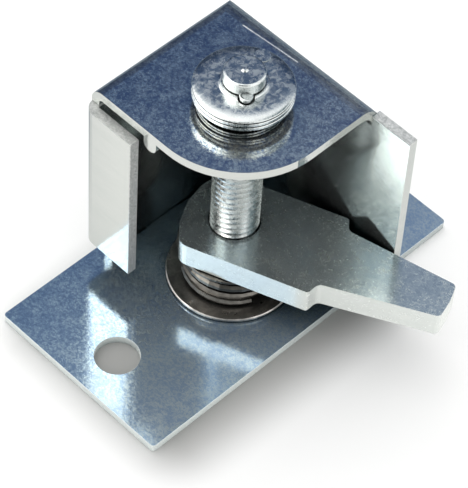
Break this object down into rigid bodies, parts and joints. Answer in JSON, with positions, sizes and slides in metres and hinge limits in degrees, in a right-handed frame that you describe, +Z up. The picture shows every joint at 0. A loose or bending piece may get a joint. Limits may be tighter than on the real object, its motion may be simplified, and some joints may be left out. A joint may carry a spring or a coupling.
{
  "type": "compression latch",
  "caption": "Screw-driven compression latch: a pawl on a threaded spindle swings against the stop wall of an open folded housing and is then drawn towards the mounting plate.",
  "frame": {"origin": "on the spindle's axis, in the underside of the mounting plate", "axes": "+Z up along the spindle, +X along the mounting plate's long side towards the stop wall, -Y out of the housing's open side, where the pawl points"},
  "size_m": [0.0834, 0.0669, 0.0627],
  "materials": {
    "zinc_plate": "zinc plated, bluish, satin",
    "zinc_turned": "zinc plated, bright turned",
    "spring_steel": "spring steel, brown-grey, oiled"
  },
  "bodies": {
    "housing": {"mounting_plate": "zinc_plate", "housing_bracket": "zinc_plate", "base_washer": "spring_steel", "compression_spring": "spring_steel", "spring_washer_1": "spring_steel", "spring_washer_2": "spring_steel", "spring_washer_3": "spring_steel", "friction_washer_1": "zinc_turned", "friction_washer_2": "zinc_turned"},
    "spindle": {"spindle": "zinc_turned", "cap_washer": "zinc_turned"},
    "carriage": {"thrust_washer": "spring_steel"},
    "pawl": {"pawl": "zinc_plate"}
  },
  "joints": [
    {"name": "spindle_turn", "type": "hinge", "parent": "housing", "child": "spindle", "pos_m": [0, 0, 0], "axis": [0, 0, 1], "range_deg": [-2880, 0]},
    {"name": "pawl_travel", "type": "slide", "parent": "housing", "child": "carriage", "axis": [0, 0, 1], "range_m": [0, 0.012], "deforming": ["compression_spring"]},
    {"name": "pawl_swing", "type": "hinge", "parent": "carriage", "child": "pawl", "pos_m": [0, 0, 0], "axis": [0, 0, 1], "range_deg": [-105, 0]}
  ],
  "couplings": [
    {"joint": "spindle_turn", "follows": "pawl_travel", "rad_per_m": -4188.8}
  ]
}
